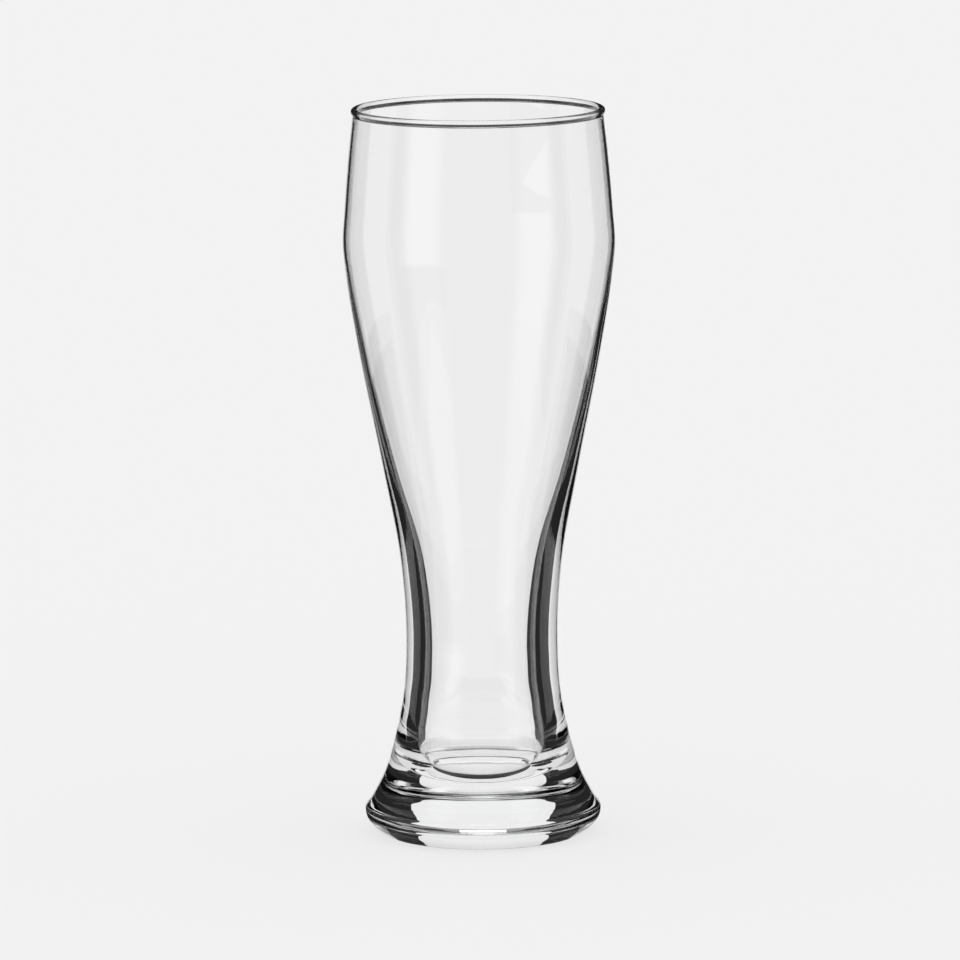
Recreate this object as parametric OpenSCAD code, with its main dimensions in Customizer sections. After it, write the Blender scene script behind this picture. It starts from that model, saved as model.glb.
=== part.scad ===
// Tall wheat-beer glass, pressed and blown as one piece of clear glass:
// a slender waisted bowl with a rounded rim, on a thick solid foot.
// It is a body of revolution about the vertical axis, and the table is at height 0.

/* [Bowl] */
// Height from the table to the top of the rim
glass_h = 216.9; // [205:0.1:240]
// Outside diameter at the widest place of the bowl
belly_d = 80.7; // [76:0.1:90]
// Height of the widest place of the bowl
belly_h = 176.9; // [165:0.1:190]
// Outside diameter at the waist
waist_d = 45.1; // [42:0.1:54]
// Height of the waist
waist_h = 56.9; // [50:0.1:72]

/* [Rim] */
// Outside diameter over the bead of the rim
rim_d = 75.1; // [68:0.1:82]
// Thickness of the bead
bead_d = 2.2; // [1.6:0.1:3.2]
// How far the bead stands out from the wall under it
bead_proud = 0.4; // [0.1:0.1:0.7]

/* [Foot] */
// Diameter at the edge of the foot
foot_d = 70.2; // [64:0.1:84]
// Height of the edge of the foot
foot_edge_h = 6.5; // [5:0.1:14]
// Diameter of the ring that the glass stands on
rest_d = 59.2; // [50:0.1:62]
// Width of the flat on that ring
rest_land = 1.2; // [0.6:0.1:3]
// Rise of the hollow under the foot
punt_h = 0.85; // [0.1:0.05:2]

/* [Walls] */
// Thickness of the wall under the bead
mouth_wall = 0.9; // [0.7:0.1:1.6]
// Thickness of the wall at the widest place of the bowl
belly_wall = 0.9; // [0.7:0.1:2.5]
// Thickness of the wall at the waist
waist_wall = 6.05; // [3:0.05:8]

/* [Well] */
// Diameter of the well, the wider bottom of the inside
well_d = 38.4; // [33:0.1:42]
// Height of the widest place of the well
well_h = 25.9; // [24:0.1:34]
// Height of the lowest point of the inside
well_floor_h = 14.1; // [10:0.1:20]

/* [Hidden] */

// Straight steps between two points of a curve, in a quarter turn, and across half of the hollow
curve_steps = 6;
arc_steps = 14;
hollow_steps = 12;
// Faces of the round form as drawn
round_steps = 128;
// Direction in which the bead leaves the wall on each side, below the horizontal
bead_join_angle = 45;
// Directions out from the axis and in to it
outward = 0;
inward = 180;

// Shares of the way from the resting ring to the edge of the foot: up, then out
underside_shares = [[0.154, 0.294], [0.385, 0.641], [0.615, 0.853], [0.769, 0.947]];
// Shares of the way from the edge of the foot to the waist: up, then in
flare_shares = [
    [0.026, 0.006], [0.046, 0.063], [0.079, 0.157], [0.117, 0.24], [0.177, 0.369], [0.266, 0.519],
    [0.385, 0.655], [0.524, 0.794], [0.702, 0.93]
];
// Shares of the way from the waist to the belly: up, out, then thinner in the wall
taper_shares = [[0.2, 0.073, 0.17], [0.433, 0.352, 0.587], [0.75, 0.766, 0.865], [0.917, 0.944, 0.98]];
// Shares of the way from the belly to the bead: up, in, then thinner in the wall
collar_shares = [[0.267, 0.2, 0.2], [0.77, 0.71, 0.77], [0.985, 0.984, 0.985]];
// Shares of the way from the waist to the well, on the inside: down, then out
throat_shares = [
    [0.177, 0.037], [0.371, 0.148], [0.568, 0.444], [0.71, 0.667], [0.839, 0.889], [0.919, 0.963]
];
// Shares of the way from the middle of the well's floor to its widest place: up, then out
well_shares = [[0.034, 0.417], [0.136, 0.677], [0.288, 0.833], [0.492, 0.932], [0.746, 0.984]];

bead_r = bead_d / 2;
bead_centre = [rim_d / 2 - bead_r, glass_h - bead_r];
mouth_r = rim_d / 2 - bead_proud;
mouth_h = glass_h - bead_d;
belly_r = belly_d / 2;
waist_r = waist_d / 2;
foot_r = foot_d / 2;
rest_r = rest_d / 2;
waist_bore_r = waist_r - waist_wall;
well_r = well_d / 2;
punt_r = rest_r - rest_land;

// A value that lies a share of the way from one size to another
function part_way(from, to, share) = from + (to - from) * share;

// Length of the chord that leaves point i of a list, and its direction
function chord(points, i) = norm(points[i + 1] - points[i]);
function run(points, i) = (points[i + 1] - points[i]) / chord(points, i);

// Direction of a smooth curve at point i of a list, from the chords on both sides
function inner_slope(points, i) =
    let (before = chord(points, i - 1), after = chord(points, i))
    (run(points, i - 1) * after + run(points, i) * before) / (before + after);
function slope(points, i) =
    i == 0 ? 2 * run(points, 0) - inner_slope(points, 1)
    : i == len(points) - 1 ? 2 * run(points, i - 1) - inner_slope(points, i - 1)
    : inner_slope(points, i);

// Point of the cubic between points i and i + 1, at u from 0 to 1
function on_cubic(points, i, u) =
    let (length = chord(points, i))
    points[i] * (2 * pow(u, 3) - 3 * pow(u, 2) + 1)
    + slope(points, i) * length * (pow(u, 3) - 2 * pow(u, 2) + u)
    + points[i + 1] * (3 * pow(u, 2) - 2 * pow(u, 3))
    + slope(points, i + 1) * length * (pow(u, 3) - pow(u, 2));

// Smooth curve through a list of points
function curve(points) = [
    for (i = [0 : len(points) - 2])
        for (k = [0 : curve_steps - 1])
            on_cubic(points, i, k / curve_steps),
    points[len(points) - 1]
];

// Arc of a circle from one angle to another, about a centre
function arc(centre, radius, from, to) =
    let (steps = ceil(arc_steps * abs(to - from) / 90))
    [
        for (k = [0 : steps])
            let (angle = part_way(from, to, k / steps))
            centre + radius * [cos(angle), sin(angle)]
    ];

// Outside, from the resting ring up to the bead: radius, height
outside_points = [
    [rest_r, 0],
    for (s = underside_shares)
        [part_way(rest_r, foot_r, s[1]), part_way(0, foot_edge_h, s[0])],
    [foot_r, foot_edge_h],
    for (s = flare_shares)
        [part_way(foot_r, waist_r, s[1]), part_way(foot_edge_h, waist_h, s[0])],
    [waist_r, waist_h],
    for (s = taper_shares)
        [part_way(waist_r, belly_r, s[1]), part_way(waist_h, belly_h, s[0])],
    [belly_r, belly_h],
    for (s = collar_shares)
        [part_way(belly_r, mouth_r, s[1]), part_way(belly_h, mouth_h, s[0])],
    [mouth_r, mouth_h]
];

// The well, from the middle of its floor out to its widest place: radius, height
well_points = [
    for (s = well_shares)
        [well_r * s[1], part_way(well_floor_h, well_h, s[0])],
    [well_r, well_h]
];

// Inside, up to the bead. It starts across the axis, so that the floor is level in the middle
across = well_points[0];
inside_points = [
    [-across.x, across.y],
    [0, well_floor_h],
    each well_points,
    for (i = [len(throat_shares) - 1 : -1 : 0])
        let (s = throat_shares[i])
        [part_way(waist_bore_r, well_r, s[1]), part_way(waist_h, well_h, s[0])],
    [waist_bore_r, waist_h],
    for (s = taper_shares)
        [
            part_way(waist_r, belly_r, s[1]) - part_way(waist_wall, belly_wall, s[2]),
            part_way(waist_h, belly_h, s[0])
        ],
    [belly_r - belly_wall, belly_h],
    for (s = collar_shares)
        [
            part_way(belly_r, mouth_r, s[1]) - part_way(belly_wall, mouth_wall, s[2]),
            part_way(belly_h, mouth_h, s[0])
        ],
    [mouth_r - mouth_wall, mouth_h]
];

// A list the other way round, and a list without its first points
function reversed(points) = [for (i = [len(points) - 1 : -1 : 0]) points[i]];
function after(count, points) = [for (i = [count : len(points) - 1]) points[i]];

// The hollow under the foot, a parabola from the axis out to the resting ring
hollow = [
    for (k = [0 : hollow_steps])
        let (out_share = k / hollow_steps)
        [punt_r * out_share, punt_h * (1 - pow(out_share, 2))]
];

// Half of the upright section, in order: under the foot, outside, bead, inside from the axis on
section = concat(
    hollow,
    curve(outside_points),
    arc(bead_centre, bead_r, outward - bead_join_angle, inward + bead_join_angle),
    reversed(after(curve_steps, curve(inside_points)))
);

module glass() {
    color([0.92, 0.95, 0.95, 0.35])
        rotate_extrude($fn = round_steps)
            polygon(section);
}

glass();
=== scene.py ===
"""Looks of a tall wheat-beer glass: clear pressed glass on a pale studio floor.

It is lit from behind between dark cards.
"""

import logging
import math
from dataclasses import dataclass
from enum import Enum

import bmesh
import bpy
from mathutils import Matrix, Vector, noise


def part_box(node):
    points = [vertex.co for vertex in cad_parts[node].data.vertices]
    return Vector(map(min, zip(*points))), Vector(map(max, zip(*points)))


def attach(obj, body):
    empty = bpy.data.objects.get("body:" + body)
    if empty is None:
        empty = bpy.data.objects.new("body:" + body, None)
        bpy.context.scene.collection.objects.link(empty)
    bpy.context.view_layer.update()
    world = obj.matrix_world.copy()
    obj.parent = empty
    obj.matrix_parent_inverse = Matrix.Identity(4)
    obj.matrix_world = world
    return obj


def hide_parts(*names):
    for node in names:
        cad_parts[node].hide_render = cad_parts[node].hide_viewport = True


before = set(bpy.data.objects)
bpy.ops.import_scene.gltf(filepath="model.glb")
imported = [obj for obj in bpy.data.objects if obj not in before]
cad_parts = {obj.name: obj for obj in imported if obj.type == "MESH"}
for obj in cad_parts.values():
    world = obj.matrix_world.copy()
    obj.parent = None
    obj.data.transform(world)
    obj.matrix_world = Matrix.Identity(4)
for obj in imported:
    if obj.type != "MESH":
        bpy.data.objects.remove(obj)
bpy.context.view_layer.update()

MM = 0.001
PHOTO_PX = 960
SENSOR_MM = 36.0

log = logging.getLogger("wheat_beer_glass")

Shares = tuple[tuple[float, ...], ...]

# Light given off by a dark card, and the reach of the tall cards, in metres
DARK = 0.02
SET_LOW = -1.35
SET_HIGH = 2.3
# Distance of the cards that stand close to the glass
NEAR = 0.2


class Seen(Enum):
    """The kinds of ray that the surroundings treat apart, as outputs of the Light Path node."""

    CAMERA = "Is Camera Ray"
    DIFFUSE = "Is Diffuse Ray"


def part_way(start: float, end: float, share: float) -> float:
    """Return the value that lies a share of the way from start to end."""
    return start + (end - start) * share


@dataclass(frozen=True)
class SmoothCurve:
    """A cubic curve through points of the section, each a radius and a height.

    Args:
        points: The points, in order.
        steps: Straight steps between two points.
    """

    points: list[Vector]
    steps: int

    def chord(self, i: int) -> float:
        """Return the length of the chord that leaves point i."""
        return (self.points[i + 1] - self.points[i]).length

    def run(self, i: int) -> Vector:
        """Return the direction of the chord that leaves point i."""
        return (self.points[i + 1] - self.points[i]) / self.chord(i)

    def slope(self, i: int) -> Vector:
        """Return the curve's direction at a point, from the chords on both sides of it.

        Args:
            i: Which point.

        Returns:
            The direction, about one long.
        """
        last = len(self.points) - 1
        if i == 0:
            return 2 * self.run(0) - self.slope(1)
        if i == last:
            return 2 * self.run(last - 1) - self.slope(last - 1)
        before, after = self.chord(i - 1), self.chord(i)
        return (self.run(i - 1) * after + self.run(i) * before) / (before + after)

    def between(self, i: int, u: float) -> Vector:
        """Return a place on the cubic between points i and i + 1.

        Args:
            i: The point that the cubic leaves.
            u: How far along, from 0 to 1.

        Returns:
            The place.
        """
        length = self.chord(i)
        return (
            self.points[i] * (2 * u**3 - 3 * u**2 + 1)
            + self.slope(i) * length * (u**3 - 2 * u**2 + u)
            + self.points[i + 1] * (3 * u**2 - 2 * u**3)
            + self.slope(i + 1) * length * (u**3 - u**2)
        )

    def sampled(self) -> list[Vector]:
        """Return the curve as a list of points."""
        spans = range(len(self.points) - 1)
        inner = [self.between(i, k / self.steps) for i in spans for k in range(self.steps)]
        return inner + [self.points[-1]]


def arc(centre: Vector, radius: float, start: float, end: float, steps: int) -> list[Vector]:
    """Return points on an arc of a circle.

    Args:
        centre: The circle's centre, a radius and a height of the section.
        radius: The circle's radius.
        start: The first point's angle in degrees.
        end: The last point's angle in degrees.
        steps: Straight steps in a quarter turn.

    Returns:
        The points, from start to end.
    """
    count = math.ceil(steps * abs(end - start) / 90)
    angles = [math.radians(part_way(start, end, k / count)) for k in range(count + 1)]
    return [centre + radius * Vector((math.cos(a), math.sin(a))) for a in angles]


def linked(name: str, bm: bmesh.types.BMesh) -> bpy.types.Object:
    """Put a mesh in the scene, and free what it was made in.

    Args:
        name: Name of the object and of its mesh.
        bm: The mesh as it was made.

    Returns:
        The new object.
    """
    mesh = bpy.data.meshes.new(name)
    bm.to_mesh(mesh)
    bm.free()
    made = bpy.data.objects.new(name, mesh)
    bpy.context.scene.collection.objects.link(made)
    return made


@dataclass(frozen=True)
class ClearGlass:
    """Clear soda-lime glass with a faint grey-green body colour and the streaks that pressing leaves.

    Args:
        ior: Index of refraction.
        body: Colour that light keeps over a long way through the glass.
        density: How fast it takes that colour, per metre.
        streak_bump: Depth of the fine upright flow lines, in metres.
        streaks_per_m: How many of them lie side by side in a metre.
        streak_length: How many times longer than wide they are.
        streak_detail: Levels of finer lines in them.
    """

    ior: float = 1.5
    body: tuple[float, float, float] = (0.93, 0.96, 0.95)
    density: float = 3.0
    streak_bump: float = 0.000004
    streaks_per_m: float = 220.0
    streak_length: float = 10.0
    streak_detail: float = 1.0

    def material(self) -> bpy.types.Material:
        """Return the glass as a node material."""
        made = bpy.data.materials.new("clear_glass")
        made.use_nodes = True
        tree = made.node_tree
        tree.nodes.clear()
        out = tree.nodes.new("ShaderNodeOutputMaterial")
        glass = tree.nodes.new("ShaderNodeBsdfGlass")
        glass.inputs["IOR"].default_value = self.ior
        glass.inputs["Roughness"].default_value = 0.0
        glass.inputs["Color"].default_value = (1, 1, 1, 1)
        place = tree.nodes.new("ShaderNodeTexCoord")
        stretch = tree.nodes.new("ShaderNodeMapping")
        across, along = self.streaks_per_m, self.streaks_per_m / self.streak_length
        stretch.inputs["Scale"].default_value = (across, across, along)
        lines = tree.nodes.new("ShaderNodeTexNoise")
        lines.inputs["Scale"].default_value = 1.0
        lines.inputs["Detail"].default_value = self.streak_detail
        relief = tree.nodes.new("ShaderNodeBump")
        relief.inputs["Strength"].default_value = 1.0
        relief.inputs["Distance"].default_value = self.streak_bump
        tree.links.new(place.outputs["Object"], stretch.inputs["Vector"])
        tree.links.new(stretch.outputs["Vector"], lines.inputs["Vector"])
        tree.links.new(lines.outputs["Fac"], relief.inputs["Height"])
        tree.links.new(relief.outputs["Normal"], glass.inputs["Normal"])
        body = tree.nodes.new("ShaderNodeVolumeAbsorption")
        body.inputs["Color"].default_value = (*self.body, 1)
        body.inputs["Density"].default_value = self.density
        tree.links.new(glass.outputs["BSDF"], out.inputs["Surface"])
        tree.links.new(body.outputs["Volume"], out.inputs["Volume"])
        return made


@dataclass
class WheatBeerGlass:
    """The glass in one piece: foot, waist, bowl and rim, with the well inside.

    Lengths are in millimetres, and heights are above the table. The overall height and diameter come from
    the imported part.

    Args:
        glass_h: Height of the top of the rim.
        belly_d: Outside diameter at the widest place of the bowl.
        belly_h: Height of the widest place of the bowl.
        waist_d: Outside diameter at the waist.
        waist_h: Height of the waist.
        rim_d: Outside diameter over the bead.
        bead_d: Thickness of the bead.
        bead_proud: How far the bead stands out from the wall under it.
        foot_d: Diameter at the edge of the foot.
        foot_edge_h: Height of the edge of the foot.
        rest_d: Diameter of the ring that the glass stands on.
        rest_land: Width of the flat on that ring.
        punt_h: Rise of the hollow under the foot.
        mouth_wall: Thickness of the wall under the bead.
        belly_wall: Thickness of the wall at the widest place.
        waist_wall: Thickness of the wall at the waist.
        well_d: Diameter of the well.
        well_h: Height of the widest place of the well.
        well_floor_h: Height of the lowest point of the inside.
        bead_join_angle: Direction in which the bead leaves the wall, in degrees below the horizontal.
        inside_shift: How far the inside stands off the axis below the belly.
        wave_depth: Depth of the shallow waves in the foot and the well.
        wave_size: Size of one wave.
        wave_height: How many times higher than wide a wave is.
        curve_steps: Straight steps between two points of a curve.
        arc_steps: Straight steps in a quarter turn.
        hollow_steps: Straight steps across half of the hollow.
        round_steps: Faces round the glass.
        weld: Points closer than this are made one.
        underside_shares: From the resting ring to the edge of the foot: up, then out.
        flare_shares: From the edge of the foot to the waist: up, then in.
        taper_shares: From the waist to the belly: up, out, then thinner in the wall.
        collar_shares: From the belly to the bead: up, in, then thinner in the wall.
        throat_shares: From the waist to the well on the inside: down, then out.
        well_shares: From the middle of the well's floor to its widest place: up, then out.
    """

    glass_h: float
    belly_d: float
    belly_h: float = 176.9
    waist_d: float = 45.1
    waist_h: float = 56.9
    rim_d: float = 75.1
    bead_d: float = 2.2
    bead_proud: float = 0.4
    foot_d: float = 70.2
    foot_edge_h: float = 6.5
    rest_d: float = 59.2
    rest_land: float = 1.2
    punt_h: float = 0.85
    mouth_wall: float = 0.9
    belly_wall: float = 0.9
    waist_wall: float = 6.05
    well_d: float = 38.4
    well_h: float = 25.9
    well_floor_h: float = 14.1
    bead_join_angle: float = 45.0
    inside_shift: float = 0.35
    wave_depth: float = 0.03
    wave_size: float = 4.0
    wave_height: float = 2.0
    curve_steps: int = 6
    arc_steps: int = 14
    hollow_steps: int = 24
    round_steps: int = 256
    weld: float = 0.001
    underside_shares: Shares = ((0.154, 0.294), (0.385, 0.641), (0.615, 0.853), (0.769, 0.947))
    flare_shares: Shares = (
        (0.026, 0.006),
        (0.046, 0.063),
        (0.079, 0.157),
        (0.117, 0.24),
        (0.177, 0.369),
        (0.266, 0.519),
        (0.385, 0.655),
        (0.524, 0.794),
        (0.702, 0.93),
    )
    taper_shares: Shares = (
        (0.2, 0.073, 0.17),
        (0.433, 0.352, 0.587),
        (0.75, 0.766, 0.865),
        (0.917, 0.944, 0.98),
    )
    collar_shares: Shares = ((0.267, 0.2, 0.2), (0.77, 0.71, 0.77), (0.985, 0.984, 0.985))
    throat_shares: Shares = (
        (0.177, 0.037),
        (0.371, 0.148),
        (0.568, 0.444),
        (0.71, 0.667),
        (0.839, 0.889),
        (0.919, 0.963),
    )
    well_shares: Shares = (
        (0.034, 0.417),
        (0.136, 0.677),
        (0.288, 0.833),
        (0.492, 0.932),
        (0.746, 0.984),
    )

    def outside(self) -> list[Vector]:
        """Return the points of the outside, from the resting ring up to the bead."""
        rest, foot = self.rest_d / 2, self.foot_d / 2
        waist, belly = self.waist_d / 2, self.belly_d / 2
        mouth, mouth_h = self.rim_d / 2 - self.bead_proud, self.glass_h - self.bead_d
        points = [(rest, 0.0)]
        points += [
            (part_way(rest, foot, s[1]), part_way(0, self.foot_edge_h, s[0])) for s in self.underside_shares
        ]
        points += [(foot, self.foot_edge_h)]
        points += [
            (part_way(foot, waist, s[1]), part_way(self.foot_edge_h, self.waist_h, s[0]))
            for s in self.flare_shares
        ]
        points += [(waist, self.waist_h)]
        points += [
            (part_way(waist, belly, s[1]), part_way(self.waist_h, self.belly_h, s[0]))
            for s in self.taper_shares
        ]
        points += [(belly, self.belly_h)]
        points += [
            (part_way(belly, mouth, s[1]), part_way(self.belly_h, mouth_h, s[0])) for s in self.collar_shares
        ]
        points += [(mouth, mouth_h)]
        return [Vector(p) for p in points]

    def inside(self) -> list[Vector]:
        """Return the points of the inside up to the bead.

        Returns:
            The points, from one across the axis, so that the floor of the well starts level.
        """
        well = self.well_d / 2
        waist, belly = self.waist_d / 2, self.belly_d / 2
        bore = waist - self.waist_wall
        mouth, mouth_h = self.rim_d / 2 - self.bead_proud, self.glass_h - self.bead_d
        floor = [(well * s[1], part_way(self.well_floor_h, self.well_h, s[0])) for s in self.well_shares]
        points = [(-floor[0][0], floor[0][1]), (0.0, self.well_floor_h), *floor, (well, self.well_h)]
        points += [
            (part_way(bore, well, s[1]), part_way(self.waist_h, self.well_h, s[0]))
            for s in reversed(self.throat_shares)
        ]
        points += [(bore, self.waist_h)]
        points += [
            (
                part_way(waist, belly, s[1]) - part_way(self.waist_wall, self.belly_wall, s[2]),
                part_way(self.waist_h, self.belly_h, s[0]),
            )
            for s in self.taper_shares
        ]
        points += [(belly - self.belly_wall, self.belly_h)]
        points += [
            (
                part_way(belly, mouth, s[1]) - part_way(self.belly_wall, self.mouth_wall, s[2]),
                part_way(self.belly_h, mouth_h, s[0]),
            )
            for s in self.collar_shares
        ]
        points += [(mouth - self.mouth_wall, mouth_h)]
        return [Vector(p) for p in points]

    def section(self) -> tuple[list[Vector], list[Vector]]:
        """Return half of the upright section.

        Returns:
            The part from under the foot to the bead, and the part down the inside to the well's floor.
        """
        bead = self.bead_d / 2
        bead_centre = Vector((self.rim_d / 2 - bead, self.glass_h - bead))
        punt = self.rest_d / 2 - self.rest_land
        outs = [k / self.hollow_steps for k in range(self.hollow_steps + 1)]
        hollow = [Vector((punt * out, self.punt_h * (1 - out**2))) for out in outs]
        outside = SmoothCurve(self.outside(), self.curve_steps).sampled()
        join = self.bead_join_angle
        over = arc(bead_centre, bead, -join, 180 + join, self.arc_steps)
        inside = SmoothCurve(self.inside(), self.curve_steps).sampled()
        return hollow + outside + over, inside[self.curve_steps :][::-1]

    def moulded(self, place: Vector, normal: Vector, inside: float) -> Vector:
        """Return where pressing and blowing leave a point of the true form.

        The inside is shifted sideways, and the foot and the well are sunk by shallow waves.

        Args:
            place: The point, in millimetres.
            normal: The surface's direction there.
            inside: 1 on the inside and 0 elsewhere.

        Returns:
            The moved point.
        """
        shifted = min(max((self.belly_h - place.z) / (self.belly_h - self.waist_h), 0.0), 1.0)
        waved = min(max((self.waist_h - place.z) / (self.waist_h / 2), 0.0), 1.0)
        waved *= min(place.z / self.rest_land, 1.0)
        spot = Vector((place.x, place.y, place.z / self.wave_height)) / self.wave_size
        wave = part_way(0.5, 1.0, noise.noise(spot))
        aside = Vector((self.inside_shift * inside * shifted, 0, 0))
        return place - aside - normal * (self.wave_depth * wave * waved)

    def build(self) -> bpy.types.Object:
        """Return the glass, spun from its section into one closed mesh."""
        bm = bmesh.new()
        mark = bm.verts.layers.float.new("inside")
        verts = []
        for points, inside in zip(self.section(), (0.0, 1.0)):
            for p in points:
                verts.append(bm.verts.new((max(p.x, 0.0), 0.0, p.y)))
                verts[-1][mark] = inside
        for a, b in zip(verts, verts[1:]):
            bm.edges.new((a, b))
        bmesh.ops.spin(
            bm,
            geom=bm.verts[:] + bm.edges[:],
            cent=(0, 0, 0),
            axis=(0, 0, 1),
            angle=math.tau,
            steps=self.round_steps,
            use_merge=True,
        )
        bmesh.ops.remove_doubles(bm, verts=bm.verts[:], dist=self.weld)
        bmesh.ops.recalc_face_normals(bm, faces=bm.faces[:])
        bm.normal_update()
        moved = [self.moulded(vert.co, vert.normal, vert[mark]) for vert in bm.verts]
        for vert, place in zip(bm.verts, moved):
            vert.co = place * MM
        bm.verts.layers.float.remove(mark)
        for face in bm.faces:
            face.smooth = True
        return linked("wheat_beer_glass", bm)


@dataclass(frozen=True)
class GivenLight:
    """What the cards and panels are made of.

    Each place gives off the light that the mesh's own attribute says.

    Args:
        attribute: Name of the attribute of the mesh's points.
    """

    attribute: str = "glow"

    def material(self) -> bpy.types.Material:
        """Return the node material."""
        made = bpy.data.materials.new("given_light")
        made.use_nodes = True
        tree = made.node_tree
        tree.nodes.clear()
        out = tree.nodes.new("ShaderNodeOutputMaterial")
        amount = tree.nodes.new("ShaderNodeAttribute")
        amount.attribute_name = self.attribute
        give = tree.nodes.new("ShaderNodeEmission")
        tree.links.new(amount.outputs["Fac"], give.inputs["Strength"])
        tree.links.new(give.outputs["Emission"], out.inputs["Surface"])
        return made


@dataclass(frozen=True)
class Card:
    """A curved card that stands round the glass.

    Args:
        name: The card's name.
        shades: Directions in degrees to the right of straight behind the glass, each with the light
            given off there.
        low: Height of the lower edge, in metres.
        high: Height of the upper edge.
        radius: Distance from the glass's axis.
        step: Degrees between two uprights of the mesh.
    """

    name: str
    shades: tuple[tuple[float, float], ...]
    low: float
    high: float
    radius: float = 1.6
    step: float = 2.5

    def shade(self, direction: float) -> float:
        """Return the light given off in a direction.

        Args:
            direction: Degrees to the right of straight behind the glass.

        Returns:
            The light, blended between the shades on both sides.
        """
        pairs = sorted(self.shades)
        for (a, shade_a), (b, shade_b) in zip(pairs, pairs[1:]):
            if direction <= b:
                share = min(max((direction - a) / (b - a), 0.0), 1.0)
                return part_way(shade_a, shade_b, share)
        return pairs[-1][1]

    def build(self, light: GivenLight) -> bpy.types.Object:
        """Bend the card round the glass.

        Args:
            light: What it is made of.

        Returns:
            The card.
        """
        first, last = self.shades[0][0], self.shades[-1][0]
        a = math.radians(first)
        bm = bmesh.new()
        foot = Vector((self.radius * math.sin(a), self.radius * math.cos(a), 0.0))
        ends = [bm.verts.new(foot + Vector((0, 0, z))) for z in (self.low, self.high)]
        edge = bm.edges.new(ends)
        bmesh.ops.spin(
            bm,
            geom=[*ends, edge],
            cent=(0, 0, 0),
            axis=(0, 0, -1),
            angle=math.radians(last - first),
            steps=math.ceil(abs(last - first) / self.step),
        )
        glow = bm.verts.layers.float.new(light.attribute)
        for vert in bm.verts:
            vert[glow] = self.shade(math.degrees(math.atan2(vert.co.x, vert.co.y)))
        return linked(self.name, bm)


@dataclass(frozen=True)
class Panel:
    """A flat level panel over or under the glass.

    Args:
        name: The panel's name.
        height: Above the table, in metres.
        half_width: Half of its size from left to right.
        front: Its edge towards the camera, behind the glass's axis.
        back: Its far edge.
        shade: The light that it gives off.
    """

    name: str
    height: float
    half_width: float
    front: float
    back: float
    shade: float

    def build(self, light: GivenLight) -> bpy.types.Object:
        """Lay the panel over or under the glass.

        Args:
            light: What it is made of.

        Returns:
            The panel.
        """
        bm = bmesh.new()
        bmesh.ops.create_grid(bm, x_segments=1, y_segments=1, size=1.0)
        depth = (self.back - self.front) / 2
        place = Matrix.Translation((0, self.front + depth, self.height))
        size = Matrix.Diagonal((self.half_width, depth, 1, 1))
        bmesh.ops.transform(bm, matrix=place @ size, verts=bm.verts[:])
        glow = bm.verts.layers.float.new(light.attribute)
        for vert in bm.verts:
            vert[glow] = self.shade
        return linked(self.name, bm)


def pair(name: str, near: float, far: float, shade: float, *place: float) -> tuple[Card, Card]:
    """Return two even cards, left and right of the glass, that mirror each other.

    Args:
        name: Their name, before its side.
        near: Direction of the edge that is nearer to straight behind the glass, in degrees.
        far: Direction of the other edge.
        shade: The light that they give off.
        place: Lower edge, upper edge and, where it isn't the usual one, the distance.

    Returns:
        The left card and the right card.
    """
    left = Card(f"{name}_left", ((-near, shade), (-far, shade)), *place)
    return left, Card(f"{name}_right", ((near, shade), (far, shade)), *place)


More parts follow.
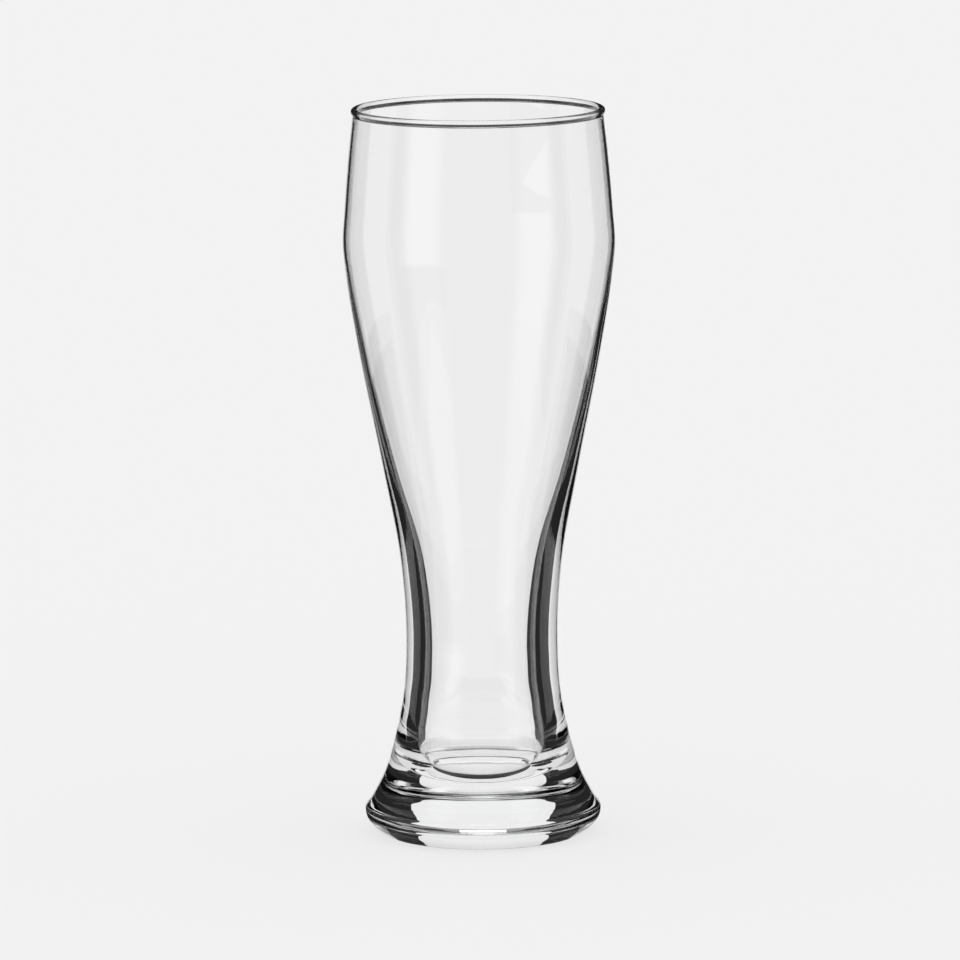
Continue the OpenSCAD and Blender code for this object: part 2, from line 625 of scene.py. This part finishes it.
@dataclass
class Studio:
    """The pale floor, the pale backdrop between dark cards and the soft light round the glass.

    The glass stands on a small dark stand with a pale middle. The floor round it carries the shadow, and
    what is seen through the glass is the backdrop, which reaches below the table. The set turns with the
    camera, as a set that is shot from one side does.

    Args:
        pale: The plain colour of floor and background.
        room: What the glass shows of the directions that no card or panel covers.
        plain_light: The even light on matt surfaces.
        plain_share: How much of the floor is its plain colour, and the rest its lit surface.
        floor_size: Width of the floor, in metres.
        cards: The cards that stand round the glass.
        panels: The level panels over and under it.
    """

    pale: float = 0.888
    room: float = 0.4
    plain_light: float = 1.26
    plain_share: float = 0.8
    floor_size: float = 60.0
    cards: tuple = (
        Card("backdrop", ((-24.5, 0.888), (24.5, 0.888)), SET_LOW, SET_HIGH),
        *pair("strip", 24.6, 40.0, DARK, SET_LOW, 1.6),
        *pair("high_dark", 40.1, 100.0, DARK, 0.5, 1.6),
        *pair("side_pale", 40.1, 95.0, 0.7, SET_LOW, 0.5),
        Card("rim_flag", ((-50.0, DARK), (50.0, DARK)), 0.208, 0.32, 0.15),
        Card("bowl_flag_left", ((-25.5, DARK), (-48.0, DARK)), 0.085, 0.2, NEAR),
        Card("bowl_flag_right", ((24.0, DARK), (48.0, DARK)), 0.085, 0.2, NEAR),
        *pair("near_dark", 24.6, 95.0, DARK, -0.2, 0.085, NEAR),
        Card("soft_box_left", ((-110.0, 0.5), (-118.0, 1.0), (-140.0, 1.0), (-150.0, 0.6)), -0.25, SET_HIGH),
        Card("soft_box_right", ((110.0, 0.5), (118.0, 1.0), (140.0, 1.0), (150.0, 0.6)), -0.75, SET_HIGH),
        Card("camera_side", ((150.0, 0.6), (210.0, 0.6)), SET_LOW, SET_HIGH),
    )
    panels: tuple = (
        Panel("overhead", 1.2, 0.234, -0.6, 0.9, 1.2),
        Panel("low_sweep", -1.36, 2.4, -2.4, 2.4, 0.8),
        Panel("stand", -0.0008, 0.05, -0.05, 0.05, DARK),
        Panel("stand_middle", -0.0004, 0.036, -0.014, 0.05, 0.8),
    )

    def world(self) -> None:
        """Set a pale background, an even light on all that is matt, and a dimmer room to see in the glass."""
        world = bpy.data.worlds.new("studio")
        bpy.context.scene.world = world
        world.use_nodes = True
        tree = world.node_tree
        tree.nodes.clear()
        out = tree.nodes.new("ShaderNodeOutputWorld")
        path = tree.nodes.new("ShaderNodeLightPath")
        last = tree.nodes.new("ShaderNodeBackground")
        last.inputs["Strength"].default_value = self.room
        for seen, strength in ((Seen.DIFFUSE, self.plain_light), (Seen.CAMERA, self.pale)):
            mix = tree.nodes.new("ShaderNodeMixShader")
            shown = tree.nodes.new("ShaderNodeBackground")
            shown.inputs["Strength"].default_value = strength
            tree.links.new(path.outputs[seen.value], mix.inputs["Fac"])
            tree.links.new(last.outputs[0], mix.inputs[1])
            tree.links.new(shown.outputs["Background"], mix.inputs[2])
            last = mix
        tree.links.new(last.outputs[0], out.inputs["Surface"])

    def floor(self) -> bpy.types.Object:
        """Return the floor, which shows the camera its plain colour and a part of the glass's shadow."""
        bm = bmesh.new()
        bmesh.ops.create_grid(bm, x_segments=1, y_segments=1, size=self.floor_size / 2)
        made = linked("floor", bm)
        material = bpy.data.materials.new("floor")
        material.use_nodes = True
        tree = material.node_tree
        tree.nodes.clear()
        out = tree.nodes.new("ShaderNodeOutputMaterial")
        mix = tree.nodes.new("ShaderNodeMixShader")
        matt = tree.nodes.new("ShaderNodeBsdfDiffuse")
        matt.inputs["Color"].default_value = (self.pale, self.pale, self.pale, 1)
        plain = tree.nodes.new("ShaderNodeEmission")
        plain.inputs["Strength"].default_value = self.pale
        path = tree.nodes.new("ShaderNodeLightPath")
        amount = tree.nodes.new("ShaderNodeMath")
        amount.operation = "MULTIPLY"
        amount.inputs[1].default_value = self.plain_share
        tree.links.new(path.outputs[Seen.CAMERA.value], amount.inputs[0])
        tree.links.new(amount.outputs["Value"], mix.inputs["Fac"])
        tree.links.new(matt.outputs["BSDF"], mix.inputs[1])
        tree.links.new(plain.outputs["Emission"], mix.inputs[2])
        tree.links.new(mix.outputs["Shader"], out.inputs["Surface"])
        made.data.materials.append(material)
        made.visible_transmission = False
        made.visible_glossy = False
        return made

    def build(self, camera: bpy.types.Object) -> None:
        """Set the floor, the cards and the light, and turn the set to the camera's side.

        Args:
            camera: What the set turns to.
        """
        self.world()
        self.floor()
        light = GivenLight()
        finish = light.material()
        turn = bpy.data.objects.new("set_turn", None)
        bpy.context.scene.collection.objects.link(turn)
        follow = turn.constraints.new("LOCKED_TRACK")
        follow.target = camera
        follow.lock_axis = "LOCK_Z"
        follow.track_axis = "TRACK_NEGATIVE_Y"
        for piece in [made.build(light) for made in self.cards + self.panels]:
            piece.data.materials.append(finish)
            piece.parent = turn
            piece.visible_camera = False
            piece.visible_shadow = False
            piece.visible_diffuse = False
            log.info("%s: %d faces", piece.name, len(piece.data.polygons))


@dataclass
class PhotoCamera:
    """The camera at the photograph's viewing angle.

    Args:
        distance: From the glass's axis, along the floor, in metres.
        height: Above the table, in metres.
        pitch: Downward angle in degrees.
        roll: Lean of the picture in degrees.
        focal_px: Focal length in pixels of the photograph.
        aside_px: How far right of the middle the axis lies.
        reach: How far the camera sees, in metres.
    """

    distance: float = 2.170
    height: float = 0.4489
    pitch: float = 8.986
    roll: float = -0.436
    focal_px: float = 7401.0
    aside_px: float = 0.73
    reach: float = 200.0

    def build(self) -> bpy.types.Object:
        """Return the camera, set as the scene's own."""
        data = bpy.data.cameras.new("photo_camera")
        data.sensor_width = SENSOR_MM
        data.lens = SENSOR_MM * self.focal_px / PHOTO_PX
        data.clip_end = self.reach
        made = bpy.data.objects.new("photo_camera", data)
        bpy.context.scene.collection.objects.link(made)
        yaw = math.atan(self.aside_px / self.focal_px)
        made.matrix_world = (
            Matrix.Translation((0, -self.distance, self.height))
            @ Matrix.Rotation(yaw, 4, "Z")
            @ Matrix.Rotation(math.radians(90 - self.pitch), 4, "X")
            @ Matrix.Rotation(math.radians(self.roll), 4, "Z")
        )
        bpy.context.scene.camera = made
        return made


def main() -> None:
    """Make the camera, the studio and the glass, and log how many faces the glass has."""
    logging.basicConfig(level=logging.INFO, format="%(message)s")
    scene = bpy.context.scene
    scene.view_settings.view_transform = "Standard"
    camera = PhotoCamera().build()
    Studio().build(camera)
    low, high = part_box("glass")
    glass = WheatBeerGlass(glass_h=(high.z - low.z) / MM, belly_d=(high.x - low.x) / MM)
    piece = glass.build()
    piece.data.materials.append(ClearGlass().material())
    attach(piece, "root")
    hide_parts("glass")
    log.info("%s: %d faces", piece.name, len(piece.data.polygons))


if __name__ == "__main__":
    main()
